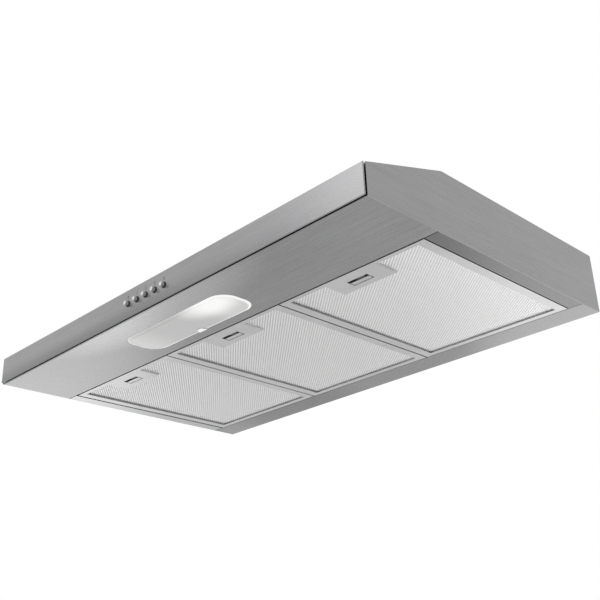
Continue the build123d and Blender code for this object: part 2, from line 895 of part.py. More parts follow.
def stator_core():
    low = case_bottom + motor_wall + stator_lift
    outer = motor_radius - motor_wall - stator_clearance
    return ring_z(fan_x, fan_y, low, low + stator_length, outer, stator_bore)


def stator_windings():
    low = case_bottom + motor_wall + stator_lift
    windings = []
    for start in (low - winding_length, low + stator_length):
        end = start + winding_length
        windings.append(ring_z(fan_x, fan_y, start, end, winding_outer, winding_inner))
    return windings


def rotor_core():
    low = case_bottom + motor_wall + stator_lift
    outer = stator_bore - rotor_air_gap
    return ring_z(fan_x, fan_y, low, low + stator_length, outer, shaft_radius + press_clearance)


def motor_shaft():
    return rod_z(fan_x, fan_y, hub_bottom - shaft_tail, plate_under - motor_wall, shaft_radius)


def impeller_nut():
    low = hub_bottom - nut_length
    nut = extrude(Pos(fan_x, fan_y, low) * RegularPolygon(nut_radius, 6), amount=nut_length)
    return nut - rod_z(fan_x, fan_y, low, hub_bottom, shaft_radius + press_clearance)


def impeller():
    # A dished wheel with forward curved blades between its back plate and its front ring
    bore = shaft_radius + press_clearance
    rim = wheel_radius - blade_depth
    plate = wheel_plate
    profile = Polyline(
        (bore, hub_bottom),
        (dish_radius, hub_bottom),
        (rim, wheel_top - plate),
        (wheel_radius, wheel_top - plate),
        (wheel_radius, wheel_top),
        (rim - plate, wheel_top),
        (dish_radius - plate, hub_bottom + plate),
        (hub_radius, hub_bottom + plate),
        (hub_radius, hub_top),
        (bore, hub_top),
        close=True,
    )
    wheel = revolve(Plane.XZ * make_face(profile), axis=Axis.Z)
    wheel += ring_z(0, 0, wheel_bottom, wheel_bottom + plate, wheel_radius, rim)
    height = wheel_height - plate / 2
    blade = Pos(wheel_radius - blade_depth / 2, 0, wheel_bottom + height / 2)
    blade *= Rot(0, 0, blade_angle)
    blade = blade * Box(blade_depth, blade_thickness, height)
    wheel += [Rot(0, 0, i * 360 / blade_count) * blade for i in range(blade_count)]
    return Pos(fan_x, fan_y, 0) * wheel


def collar_rivet_places():
    radius = collar_radius + collar_flange / 2
    places = polar_places(collar_rivet_count, radius, 45)
    return [(x, collar_y + y) for x, y in places]


def duct_collar():
    low = deck_under - collar_wall
    high = hood_height + collar_height
    inner = collar_radius - collar_wall
    collar = rod_z(0, collar_y, low, deck_under, collar_radius + collar_flange)
    collar += rod_z(0, collar_y, low, high, collar_radius)
    collar -= rod_z(0, collar_y, low, high, inner)
    collar += ring_z(0, collar_y, ledge_top - ledge_thickness, ledge_top, inner, inner - ledge_depth)
    hole = flap_pin_radius + flap_pin_clearance
    collar -= rod_x(-2 * collar_radius, 2 * collar_radius, collar_y, pin_z, hole)
    for x, y in collar_rivet_places():
        collar -= rod_z(x, y, low, deck_under, collar_rivet_radius + screw_clearance)
    return collar


def collar_rivets():
    seat = deck_under - collar_wall
    rivets = []
    for x, y in collar_rivet_places():
        rivet = rod_z(x, y, seat, hood_height - screw_flush, collar_rivet_radius)
        rivets.append(rivet + rod_z(x, y, seat - collar_rivet_head_height, seat, collar_rivet_head))
    return rivets


def flap_pin():
    reach = collar_radius - flap_pin_inset
    return rod_x(-reach, reach, collar_y, pin_z, flap_pin_radius)


def damper_flap(side):
    # A half disc on the pin. Its knuckles lie between those of the other half.
    radius = collar_radius - collar_wall - flap_rim_gap
    low = ledge_top + flap_rest_gap
    high = low + flap_thickness
    edge = flap_knuckle_radius + flap_hinge_gap
    near, far = sorted((side * edge, side * 2 * radius))
    half = box(-radius, radius, collar_y + near, collar_y + far, low, high)
    flap = rod_z(0, collar_y, low, high, radius) & half
    inner = flap_knuckle_gap
    if side < 0:
        inner = 2 * flap_knuckle_gap + flap_knuckle_length
    for way in (-1, 1):
        x0, x1 = sorted((way * inner, way * (inner + flap_knuckle_length)))
        near, far = sorted((0, side * 2 * edge))
        flap += box(x0, x1, collar_y + near, collar_y + far, low, high)
        flap += rod_x(x0, x1, collar_y, pin_z, flap_knuckle_radius)
    bore = flap_pin_radius + flap_pin_clearance
    return flap - rod_x(-radius, radius, collar_y, pin_z, bore)


def terminal_post_places():
    x = terminal_length / 2 - post_inset
    y = terminal_width / 2 - post_inset
    return [(terminal_x - x, terminal_y - y), (terminal_x + x, terminal_y + y)]


def terminal_box():
    half_x = terminal_length / 2
    half_y = terminal_width / 2
    left = terminal_x - half_x
    right = terminal_x + half_x
    front = terminal_y - half_y
    rear = terminal_y + half_y
    wall = terminal_wall
    shell = box(left, right, front, rear, terminal_floor, deck_under)
    roof = deck_under - wall
    shell -= box(left + wall, right - wall, front + wall, rear - wall, terminal_floor, roof)
    lug = terminal_lug
    lug_under = deck_under - terminal_lug_thickness
    shell += box(left - lug, left, terminal_y - lug, terminal_y + lug, lug_under, deck_under)
    shell += box(right, right + lug, terminal_y - lug, terminal_y + lug, lug_under, deck_under)
    for side in (-1, 1):
        lug_x = terminal_x + side * (terminal_length + lug) / 2
        shell -= rod_z(lug_x, terminal_y, lug_under, deck_under, deck_screw_radius + screw_clearance)
    for x, y in terminal_post_places():
        shell += rod_z(x, y, terminal_floor, roof, post_radius)
        shell -= rod_z(x, y, terminal_floor, roof, small_screw_radius + screw_clearance)
    return shell - rod_z(cable_x, terminal_y, terminal_floor, hood_height, cable_bore_radius)


def terminal_cover():
    low = terminal_floor - terminal_wall
    cover = Pos(terminal_x, terminal_y, low + terminal_wall / 2)
    cover = cover * Box(terminal_length, terminal_width, terminal_wall)
    for x, y in terminal_post_places():
        cover -= rod_z(x, y, low, terminal_floor, small_screw_radius + screw_clearance)
    return cover


def terminal_block():
    roof = deck_under - terminal_wall
    place = Pos(terminal_x - block_offset, terminal_y, roof - block_height / 2)
    return place * Box(block_length, block_width, block_height)


def capacitor():
    y0 = capacitor_y - capacitor_length / 2
    return rod_y(capacitor_x, y0, y0 + capacitor_length, capacitor_z, capacitor_radius)


def capacitor_strap_ring():
    y0 = capacitor_y - capacitor_strap_width / 2
    y1 = capacitor_y + capacitor_strap_width / 2
    inner = capacitor_radius + capacitor_clearance
    strap = rod_y(capacitor_x, y0, y1, capacitor_z, inner + capacitor_strap)
    toe = capacitor_x + capacitor_radius + capacitor_strap + capacitor_foot
    strap += box(capacitor_x, toe, y0, y1, deck_under - capacitor_strap, deck_under)
    strap -= rod_y(capacitor_x, y0, y1, capacitor_z, inner)
    screw_x = toe - capacitor_foot / 2
    return strap - rod_z(screw_x, capacitor_y, capacitor_z, hood_height, deck_screw_radius + screw_clearance)


def deck_screws():
    screws = []
    for x, y, seat in deck_screw_places():
        screw = rod_z(x, y, seat, hood_height - screw_flush, deck_screw_radius)
        screws.append(screw + rod_z(x, y, seat - deck_screw_head_height, seat, deck_screw_head))
    return screws


def lead_routes():
    # Leads from the terminal box to the motor, through the scroll's front, to the switches and to the lamp
    start = terminal_y - terminal_width / 2
    spread = terminal_length / 4
    switch_y = switch_front + switch_depth / 2
    motor = [
        (terminal_x - spread, start, lead_z),
        (terminal_x - spread, lead_y, lead_z),
        (fan_x, lead_y, lead_z),
        (fan_x, fan_y - motor_radius - lead_clearance, lead_z),
    ]
    switch = [
        (terminal_x, start, lead_z),
        (terminal_x, lead_knee, lead_z),
        (terminal_x, switch_y, button_z),
        (switch_half, switch_y, button_z),
    ]
    lamp = [
        (terminal_x + spread, start, lead_z),
        (terminal_x + spread, lead_knee, lead_z),
        (terminal_x + spread, lens_y, lamp_z),
        (tray_right + sheet, lens_y, lamp_z),
    ]
    return [motor, switch, lamp]


def lead(points, last_bend):
    path = FilletPolyline(*points, radius=[lead_bend, last_bend])
    end = Plane(origin=path @ 0, z_dir=path % 0)
    return sweep(end * Circle(lead_radius), path=path)


def wiring_loom():
    motor, switch, lamp = lead_routes()
    return [lead(motor, entry_bend), lead(switch, lead_bend), lead(lamp, lead_bend)]


def lead_clip(x, y, turn):
    # A band round a lead that hangs from the deck, made for a lead along Y and then turned
    bore = lead_radius + lead_clip_clearance
    half = lead_clip_width / 2
    outer = bore + lead_clip_wall
    clip = rod_y(0, -half, half, lead_z, outer)
    clip += box(-outer, outer, -half, half, lead_z, deck_under)
    clip -= rod_y(0, -half, half, lead_z, bore)
    return Pos(x, y, 0) * Rot(0, 0, turn) * clip


def lead_clips():
    motor, switch, lamp = lead_routes()
    clips = []
    for route in (motor, switch, lamp):
        clips.append(lead_clip(route[0][0], (route[0][1] + route[1][1]) / 2, 0))
    span = motor[2][0] - motor[1][0]
    for i in range(lead_clip_count):
        clips.append(lead_clip(motor[1][0] + span * (i + 1) / (lead_clip_count + 1), motor[1][1], 90))
    return clips


def save(name, shape):
    # The shared frame has its origin at the middle of the four mounting holes, on the deck
    solids = shape if isinstance(shape, list) else [shape]
    moved = [Pos(0, -mount_y, -hood_height) * solid for solid in solids]
    node = moved[0] if len(moved) == 1 else Compound(children=moved)
    export_step(node, f"parts/{name}.step")


os.makedirs("parts", exist_ok=True)
save("front_shell", front_shell())
save("top_deck", top_deck())
save("left_end_panel", end_panel(-1))
save("right_end_panel", end_panel(1))
save("rear_panel", rear_panel())
save("lamp_panel", lamp_panel())
save("front_fascia", front_fascia())
save("button_bushes", [button_bush(x) for x in button_places()])
for number, x in enumerate(button_places(), 1):
    save(f"button_{number}", button(x))
save("switch_block", switch_block())
save("small_screws", small_screws())
save("lamp_lens", lens())
save("lamp_tray", lamp_tray())
save("lamp_holder", lamp_holder())
save("lamp_bulb", lamp_bulb())
save("lens_clips", [lens_clip(-1), lens_clip(1)])
for name, centre in zip(filter_names, filter_centres):
    save(f"filter_frame_{name}", filter_frame(centre))
    save(f"filter_mesh_{name}", filter_mesh(centre))
    save(f"filter_core_{name}", filter_core(centre))
    save(f"catch_plate_{name}", catch_plate(centre))
    save(f"catch_slide_{name}", catch_slide(centre))
save("fan_scroll", fan_scroll())
save("inlet_ring", inlet_ring())
save("inlet_guard", inlet_guard())
save("motor_plate", motor_plate())
save("motor_case", motor_case())
save("motor_bearings", motor_bearings())
save("stator_core", stator_core())
save("stator_windings", stator_windings())
save("motor_shaft", motor_shaft())
save("rotor_core", rotor_core())
save("impeller", impeller())
save("impeller_nut", impeller_nut())
save("duct_collar", duct_collar())
save("collar_rivets", collar_rivets())
save("flap_pin", flap_pin())
save("front_damper_flap", damper_flap(-1))
save("rear_damper_flap", damper_flap(1))
save("terminal_box", terminal_box())
save("terminal_cover", terminal_cover())
save("terminal_block", terminal_block())
save("capacitor", capacitor())
save("capacitor_strap", capacitor_strap_ring())
save("wiring_loom", wiring_loom())
save("lead_clips", lead_clips())
save("deck_screws", deck_screws())
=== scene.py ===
import json
import math

import bmesh
import bpy
from mathutils import Matrix, Vector


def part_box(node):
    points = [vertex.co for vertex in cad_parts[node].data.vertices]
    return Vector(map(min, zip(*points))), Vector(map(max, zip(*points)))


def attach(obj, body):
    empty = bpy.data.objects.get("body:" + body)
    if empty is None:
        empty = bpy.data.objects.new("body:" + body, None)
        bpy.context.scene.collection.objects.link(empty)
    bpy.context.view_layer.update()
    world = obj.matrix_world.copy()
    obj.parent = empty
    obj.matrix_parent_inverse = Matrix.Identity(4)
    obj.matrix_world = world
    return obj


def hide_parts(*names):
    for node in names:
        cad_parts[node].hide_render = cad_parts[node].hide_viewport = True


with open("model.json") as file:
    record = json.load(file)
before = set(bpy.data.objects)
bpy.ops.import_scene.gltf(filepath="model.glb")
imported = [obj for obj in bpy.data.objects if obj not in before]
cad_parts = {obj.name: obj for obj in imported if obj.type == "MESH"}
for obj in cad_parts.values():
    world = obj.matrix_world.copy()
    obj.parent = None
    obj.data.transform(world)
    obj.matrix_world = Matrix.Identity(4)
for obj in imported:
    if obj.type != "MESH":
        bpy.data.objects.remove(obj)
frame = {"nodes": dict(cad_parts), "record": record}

scene = bpy.context.scene
nodes = frame["nodes"]
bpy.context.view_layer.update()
sideNames = ["left", "middle", "right"]
noiseRange = (0.3, 0.7)  # most of a noise's values lie in here
black = (0.0, 0.0, 0.0)
print("frame loaded:", len(nodes), "nodes")


class Wire:
    # a node's output socket; sums on it add Math nodes
    def __init__(self, tree, socket):
        self.tree = tree
        self.socket = socket

    @classmethod
    def make(cls, tree, kind, settings=None, sockets=None, out=0):
        made = tree.nodes.new(kind)
        for key, value in (settings or {}).items():
            setattr(made, key, value)
        for key, value in (sockets or {}).items():
            for one in value if isinstance(value, list) else [value]:
                if isinstance(one, Wire):
                    tree.links.new(one.socket, made.inputs[key])
                else:
                    made.inputs[key].default_value = one
        return cls(tree, made.outputs[out])

    def node(self, kind, settings=None, sockets=None, out=0):
        return Wire.make(self.tree, kind, settings, sockets, out)

    def beside(self, out):
        # another output of the same node
        return Wire(self.tree, self.socket.node.outputs[out])

    def math(self, operation, second=0.0, first=None):
        sockets = {0: self if first is None else first, 1: second}
        return self.node("ShaderNodeMath", {"operation": operation}, sockets)

    def __add__(self, other):
        return self.math("ADD", other)

    def __radd__(self, other):
        return self.math("ADD", self, other)

    def __sub__(self, other):
        return self.math("SUBTRACT", other)

    def __rsub__(self, other):
        return self.math("SUBTRACT", self, other)

    def __mul__(self, other):
        return self.math("MULTIPLY", other)

    def __rmul__(self, other):
        return self.math("MULTIPLY", self, other)

    def __truediv__(self, other):
        return self.math("DIVIDE", other)

    def __gt__(self, other):
        return self.math("GREATER_THAN", other)

    def __lt__(self, other):
        return self.math("LESS_THAN", other)

    def axis(self, name):
        return self.node("ShaderNodeSeparateXYZ", {}, {0: self}, name)

    def share(self, amount, other):
        # so much of this value, and the rest of the other
        return self * amount + other * (1.0 - amount)

    def swing(self, amount):
        # a noise centred on nought
        return (self - 0.5) * amount

    def between(self, low, high, start=0.0, end=1.0):
        # goes smoothly from start to end while this value goes from low to high
        sockets = {"Value": self, "From Min": low, "From Max": high, "To Min": start, "To Max": end}
        return self.node("ShaderNodeMapRange", {"interpolation_type": "SMOOTHSTEP"}, sockets)

    def colours(self, first, second):
        # this value mixes two colours, each given as numbers or as a wire
        first, second = [one if isinstance(one, Wire) else (*one, 1.0) for one in (first, second)]
        sockets = {0: self, 6: first, 7: second}  # a Mix node's colours, with output 2
        return self.node("ShaderNodeMix", {"data_type": "RGBA"}, sockets, 2)

    def noise(self, perMetre, detail=2.0, roughness=0.5):
        stretch = perMetre if isinstance(perMetre, tuple) else (perMetre,) * 3
        mapped = self.node("ShaderNodeMapping", {}, {"Vector": self, "Scale": stretch})
        sockets = {"Vector": mapped, "Scale": 1.0, "Detail": detail, "Roughness": roughness}
        return self.node("ShaderNodeTexNoise", {}, sockets)

    def cells(self, perMetre, out="Color", feature="F1"):
        sockets = {"Vector": self, "Scale": perMetre}
        return self.node("ShaderNodeTexVoronoi", {"feature": feature}, sockets, out)


class Finish:
    # one material: constants on its shader, and the wires that vary over the surface
    def __init__(self, name, **constants):
        self.material = bpy.data.materials.new(name)
        self.material.use_nodes = True
        self.tree = self.material.node_tree
        self.shader = self.tree.nodes["Principled BSDF"]
        self.place = Wire.make(self.tree, "ShaderNodeTexCoord", {}, {}, "Object")
        for key, value in constants.items():
            self.shader.inputs[key.replace("_", " ")].default_value = value

    def feed(self, socketName, wire):
        self.tree.links.new(wire.socket, self.shader.inputs[socketName])

    def bump(self, height, strength, distance=0.0002):
        sockets = {"Strength": strength, "Distance": distance, "Height": height}
        self.feed("Normal", height.node("ShaderNodeBump", {}, sockets))


# Finishes

brushedSteel = {
    "pale": (0.345, 0.345, 0.35),
    "dark": (0.275, 0.275, 0.28),
    "dull": (0.22, 0.22, 0.224),
    "paintedDeepShade": (0.175, 0.175, 0.178),
    "paintedSheen": (0.46, 0.46, 0.465),
    "paintedFlangeSheen": (0.51, 0.51, 0.515),
    "fineLines": 2600.0,  # per metre across the grain
    "wideLines": 240.0,
    "alongGrain": 7.0,
    "smears": 5.0,
    "fineShare": 0.75,
    "lineShare": 0.75,
    "roughness": 0.27,
    "lineRough": 0.22,
    "smearRough": 0.1,
    "bump": 0.06,
}


def makeBrushed(name, grainAxis, tone=1.0, patch=None, patchColour=None):
    v = brushedSteel
    dark = [tone * part for part in v["dark"]]
    pale = [tone * part for part in v["pale"]]
    finish = Finish(name, Metallic=1.0)
    fine = [v["fineLines"]] * 3
    wide = [v["wideLines"]] * 3
    fine[grainAxis] = v["alongGrain"] * 3
    wide[grainAxis] = v["alongGrain"]
    fineLines = finish.place.noise(tuple(fine), 3.0)
    wideLines = finish.place.noise(tuple(wide))
    smears = finish.place.noise(v["smears"], 3.0)
    streaks = fineLines.share(v["fineShare"], wideLines)
    shade = streaks.share(v["lineShare"], smears)
    colour = shade.between(*noiseRange).colours(dark, pale)
    if patch:
        colour = patch(finish.place).colours(colour, v[patchColour])
    finish.feed("Base Color", colour)
    swing = streaks.swing(v["lineRough"]) + smears.swing(v["smearRough"])
    finish.feed("Roughness", v["roughness"] + swing)
    finish.bump(streaks, v["bump"])
    return finish.material


panelShades = {
    "sheet": 0.0012,
    "footLow": 0.002,  # the painted shade on the fascia is full from here down, and gone above the next height
    "footHigh": 0.022,
    "footX": -0.05,  # right of here the painted shade at the foot fades
    "footRight": 0.1,  # what is left of it at the right end
    "sheenX": -0.01,  # the painted highlight's middle, below the buttons
    "sheenReachX": 0.24,
    "sheenReachY": 0.075,
    "flangeRear": 0.69,  # how much of the painted highlight the left flange keeps at its rear end
    "shadeX": -0.185,  # the painted shade on the rear strip is centred round this place
    "shadeReachX": 0.17,
}


def fasciaPaintedShade(place):
    # painted shade on the lower edge of the fascia, most of it left of the middle
    v = panelShades
    low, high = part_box("front_fascia")
    foot = (place.axis("Z") - low.z).between(v["footLow"], v["footHigh"], 1.0, 0.0)
    return foot * place.axis("X").between(v["footX"], high.x, 1.0, v["footRight"])


def paintedFrontSheen(place):
    # painted highlight on the panel's front edge, below the buttons
    v = panelShades
    aside = (place.axis("X") - v["sheenX"]) / v["sheenReachX"]
    behind = (place.axis("Y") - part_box("lamp_panel")[0].y) / v["sheenReachY"]
    return (aside * aside + behind * behind).between(0.0, 1.0, 1.0, 0.0)


def turnedIn(place, node):
    # the sheet that is turned in below a panel
    return place.axis("Z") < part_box(node)[0].z + panelShades["sheet"]


# painted shade on the right flange
def rightFlange(place):
    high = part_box("right_end_panel")[1]
    inner = place.axis("X") < high.x - panelShades["sheet"]
    return turnedIn(place, "right_end_panel") * inner


def leftFlange(place):
    # painted highlight on the left flange, weaker towards its rear end
    low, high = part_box("left_end_panel")
    inner = place.axis("X") > low.x + panelShades["sheet"]
    fade = place.axis("Y").between(low.y, high.y, 1.0, panelShades["flangeRear"])
    return turnedIn(place, "left_end_panel") * inner * fade


def rearStrip(place):
    # painted shade on part of it
    v = panelShades
    aside = (place.axis("X") - v["shadeX"]) / v["shadeReachX"]
    return turnedIn(place, "rear_panel") * (aside * aside).between(0.0, 1.0, 1.0, 0.0)


zincSpangle = {
    "pale": (0.60, 0.615, 0.62),
    "dark": (0.48, 0.495, 0.505),
    "shadeRange": (0.2, 0.85),
    "crystals": 120.0,  # per metre
    "crystalShare": 0.6,
    "seam": 0.12,  # of a crystal
    "bends": 45.0,
    "bendReach": 0.006,
    "frost": 420.0,
    "roughness": 0.34,
    "crystalRough": 0.16,
    "frostRough": 0.08,
    "seamHeight": 0.5,
    "frostHeight": 0.3,
    "bump": 0.08,
    "bumpDepth": 0.0004,
}


def makeZinc():
    v = zincSpangle
    finish = Finish("zincSpangle", Metallic=1.0)
    sockets = {"Vector": finish.place, "Scale": v["bends"], "Detail": 3.0}
    bends = finish.place.node("ShaderNodeTexNoise", {}, sockets, "Color")
    sockets = {0: bends, 1: (v["bendReach"],) * 3, 2: finish.place}
    bent = finish.place.node("ShaderNodeVectorMath", {"operation": "MULTIPLY_ADD"}, sockets)
    crystal = bent.cells(v["crystals"]).axis("X")
    edge = bent.cells(v["crystals"], "Distance", "DISTANCE_TO_EDGE").between(0.0, v["seam"])
    frost = finish.place.noise(v["frost"], 4.0)
    shade = crystal.share(v["crystalShare"], frost).between(*v["shadeRange"])
    finish.feed("Base Color", shade.colours(v["dark"], v["pale"]))
    swing = crystal * v["crystalRough"] + frost * v["frostRough"]
    finish.feed("Roughness", v["roughness"] + swing)
    height = edge * v["seamHeight"] + frost * v["frostHeight"]
    finish.bump(height, v["bump"], v["bumpDepth"])
    return finish.material


satinGrain = {
    "clouds": 18.0,  # per metre
    "fineShare": 0.5,
    "fineRough": 0.16,
    "cloudRough": 0.08,
    "bump": 0.1,
}


def satinWires(finish, grain):
    # a fine even grain, the shade that it gives with broad clouds, and their swing of the roughness
    v = satinGrain
    fine = finish.place.noise(grain, 4.0, 0.6)
    clouds = finish.place.noise(v["clouds"])
    shade = fine.share(v["fineShare"], clouds).between(*noiseRange)
    return fine, shade, fine.swing(v["fineRough"]) + clouds.swing(v["cloudRough"])


def makeSatin(name, dark, pale, roughness, grain, metallic=1.0):
    finish = Finish(name, Metallic=metallic)
    fine, shade, swing = satinWires(finish, grain)
    finish.feed("Base Color", shade.colours(dark, pale))
    finish.feed("Roughness", roughness + swing)
    finish.bump(fine, satinGrain["bump"])
    return finish.material


strandFoil = {
    "dull": (0.62, 0.62, 0.62),
    "bright": (0.98, 0.98, 0.98),
    "slopeShare": 0.85,
    "grain": 900.0,  # per metre
    "roughness": 0.3,
    "metallic": 0.9,
}


def makeMeshFoil():
    # painted light and shade: bright on the slopes that face one way, darker between them
    v = strandFoil
    finish = Finish("meshFoil", Metallic=v["metallic"])
    turn = finish.place.node("ShaderNodeAttribute", {"attribute_name": "strandTurn"}, {}, "Fac")
    slope = (turn * math.tau).math("COSINE") * 0.5 + 0.5
    fine = finish.place.noise(v["grain"], 4.0, 0.6)
    finish.feed("Base Color", slope.share(v["slopeShare"], fine).colours(v["dull"], v["bright"]))
    finish.feed("Roughness", v["roughness"] + fine.swing(satinGrain["fineRough"]))
    finish.bump(fine, satinGrain["bump"])
    return finish.material


filterRail = {
    "dark": (0.50, 0.50, 0.50),
    "pale": (0.57, 0.57, 0.57),
    "paintedLipShade": (0.28, 0.28, 0.28),
    "wall": (0.76, 0.76, 0.76),  # the outer walls, paler
    "wallDepth": 0.0008,
    "grain": 700.0,  # per metre
    "roughness": 0.31,
    "lipRough": 0.3,
    "lipShadeLeast": 0.8,  # of the lip's colour, with the grain's swing on top
    "lipShadeSwing": 0.4,
    "edge": 0.005,  # the lip is further in than this from the frame's outside
    "rearEdge": 0.02,
    "lipStart": 0.0004,
}


def makeFilterRail():
    # bare sheet, with painted shade on the lip where it meets the mesh
    v = filterRail
    low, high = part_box("filter_frame_left")
    width = high.x - low.x
    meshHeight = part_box("filter_mesh_left")[0].z - low.z
    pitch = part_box("filter_frame_middle")[0].x - low.x
    finish = Finish("filterRail", Metallic=1.0)
    fine, shade, swing = satinWires(finish, v["grain"])
    across = (finish.place.axis("X") - low.x).math("FLOORED_MODULO", pitch)
    along = finish.place.axis("Y")
    height = finish.place.axis("Z") - low.z
    above = height > v["lipStart"]
    inside = (across > v["edge"]) * (across < width - v["edge"])
    inside = inside * (along > low.y + v["edge"]) * (along < high.y - v["rearEdge"])
    lip = inside * above * (height < meshHeight + v["lipStart"])
    clear = (across > v["wallDepth"]) * (across < width - v["wallDepth"])
    clear = clear * (along > low.y + v["wallDepth"]) * (along < high.y - v["wallDepth"])
    wall = (1.0 - clear) * above
    sheet = wall.colours(shade.colours(v["dark"], v["pale"]), v["wall"])
    # painted shade on the lip
    lipShading = lip * (v["lipShadeLeast"] + fine * v["lipShadeSwing"])
    finish.feed("Base Color", lipShading.colours(sheet, v["paintedLipShade"]))
    finish.feed("Roughness", v["roughness"] + swing + lip * v["lipRough"])
    finish.bump(fine, satinGrain["bump"])
    return finish.material


mouldedGrain = {
    "clouds": 25.0,  # per metre
    "pitShare": 0.3,
    "pitRough": 0.12,
    "cloudRough": 0.1,
    "specular": 0.45,
}


def makePlastic(name, dark, pale, roughness, grain, bump):
    v = mouldedGrain
    finish = Finish(name, Specular_IOR_Level=v["specular"])
    pits = finish.place.noise(grain, 2.0, 0.6)
    clouds = finish.place.noise(v["clouds"], 3.0)
    shade = pits.share(v["pitShare"], clouds).between(*noiseRange)
    finish.feed("Base Color", shade.colours(dark, pale))
    swing = pits.swing(v["pitRough"]) + clouds.swing(v["cloudRough"])
    finish.feed("Roughness", roughness + swing)
    finish.bump(pits, bump)
    return finish.material


turnedButton = {
    "face": (0.74, 0.74, 0.75),
    "ring": (0.55, 0.55, 0.56),
    "ringTurns": 5200.0,  # radians per metre
    "ringShare": 0.5,
    "wear": 600.0,
    "roughness": 0.16,
    "ringRough": 0.08,
    "wearRough": 0.1,
    "bump": 0.05,
    "bumpDepth": 0.0001,
}


def makeTurned():
    # polished caps with fine turning marks round each button's axis
    v = turnedButton
    finish = Finish("turnedButton", Metallic=1.0)
    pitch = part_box("button_2")[0].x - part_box("button_1")[0].x
    low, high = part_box("button_3")
    across = finish.place.axis("X") - (low.x + high.x) / 2 + pitch / 2
    across = across.math("FLOORED_MODULO", pitch) - pitch / 2
    above = finish.place.axis("Z") - (low.z + high.z) / 2
    radius = (across * across + above * above).math("SQRT")
    rings = (radius * v["ringTurns"]).math("SINE") * 0.5 + 0.5
    wear = finish.place.noise(v["wear"], 3.0)
    finish.feed("Base Color", rings.share(v["ringShare"], wear).colours(v["ring"], v["face"]))
    finish.feed("Roughness", v["roughness"] + rings * v["ringRough"] + wear * v["wearRough"])
    finish.bump(rings, v["bump"], v["bumpDepth"])
    return finish.material


litLens = {
    "plain": (0.43, 0.43, 0.43),
    "frost": (0.49, 0.49, 0.485),
    "farEnd": (0.60, 0.60, 0.595),  # the end away from the bulb
    "farReach": 0.075,
    "light": (1.0, 1.0, 0.985),
    "bulbX": 0.064,
    "bulbSetForward": 0.021,
    "reachX": 0.044,
    "reachY": 0.028,
    "glowCore": 0.4,  # in reaches
    "glowEnd": 1.5,
    "glow": 0.34,
    "fill": 0.10,
    "fillStart": 0.03,
    "flatBelowTop": 0.010,
    "rimStart": 0.0002,  # the rim is above the flat, and the tab is below it
    "rimEnd": 0.0012,
    "tabStart": -0.0002,
    "tabEnd": -0.0008,
    "rimPaintedHighlight": 0.38,
    "rimFront": 0.25,  # share of the painted rim highlight at its front side
    "grain": 900.0,
    "roughness": 0.26,
    "frostRough": 0.12,
    "bump": 0.05,
}


def makeLens():
    # frosted cover, lit from inside over its right half, with a painted highlight on its rim and
    # tab
    v = litLens
    low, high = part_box("lamp_lens")
    finish = Finish("litLens", Emission_Strength=1.0)
    frost = finish.place.noise(v["grain"], 3.0)
    across = finish.place.axis("X")
    along = finish.place.axis("Y")
    x = (across - v["bulbX"]) / v["reachX"]
    y = (along - (low.y + high.y) / 2 + v["bulbSetForward"]) / v["reachY"]
    away = (x * x + y * y).math("SQRT")
    glow = away.between(v["glowCore"], v["glowEnd"], v["glow"], 0.0)
    fill = across.between(v["fillStart"], v["bulbX"], 0.0, v["fill"])
    height = finish.place.axis("Z") - (high.z - v["flatBelowTop"])
    rim = height.between(v["rimStart"], v["rimEnd"])
    tab = height.between(v["tabEnd"], v["tabStart"], 1.0, 0.0)
    rearSide = along.between(low.y, high.y, v["rimFront"], 1.0)
    light = glow + fill + (rim * rearSide + tab) * v["rimPaintedHighlight"]
    farEnd = across.between(low.x, low.x + v["farReach"], 1.0, 0.0)
    plain = frost.colours(v["plain"], v["frost"])
    finish.feed("Base Color", farEnd.colours(plain, v["farEnd"]))
    finish.feed("Roughness", v["roughness"] + frost * v["frostRough"])
    finish.feed("Emission Color", light.colours(black, v["light"]))
    finish.bump(frost, v["bump"])
    return finish.material


opalBulb = {
    "glass": (0.9, 0.9, 0.88),
    "cap": (0.55, 0.55, 0.53),
    "light": (1.0, 0.97, 0.9),
    "strength": 1.6,
    "roughness": 0.25,
    "capStart": 0.019,  # from the bulb's right end
    "capFull": 0.0175,
    "swirls": 160.0,
    "swirlShade": 0.08,
}


def makeBulb():
    v = opalBulb
    finish = Finish("opalBulb", Roughness=v["roughness"], Emission_Strength=v["strength"])
    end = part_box("lamp_bulb")[1].x
    cap = finish.place.axis("X").between(end - v["capStart"], end - v["capFull"])
    unlit = cap + finish.place.noise(v["swirls"]) * v["swirlShade"]
    finish.feed("Base Color", cap.colours(v["glass"], v["cap"]))
    finish.feed("Metallic", cap)
    finish.feed("Emission Color", unlit.colours(v["light"], black))
    return finish.material


stackedSheets = {
    "line": 0.25,  # of a sheet's thickness
    "lineShare": 0.6,
    "rust": 300.0,
    "roughness": 0.5,
    "rustRough": 0.2,
    "bump": 0.3,
    "bumpDepth": 0.0003,
}


def makeLaminated(name, dark, pale, sheetsPerMetre):
    # stacked sheets or layers of wire, with a line between each pair
    v = stackedSheets
    finish = Finish(name, Metallic=1.0)
    line = (finish.place.axis("Z") * sheetsPerMetre).math("FRACT").between(0.0, v["line"])
    rust = finish.place.noise(v["rust"], 4.0)
    finish.feed("Base Color", line.share(v["lineShare"], rust).colours(dark, pale))
    finish.feed("Roughness", v["roughness"] + rust * v["rustRough"])
    finish.bump(line, v["bump"], v["bumpDepth"])
    return finish.material


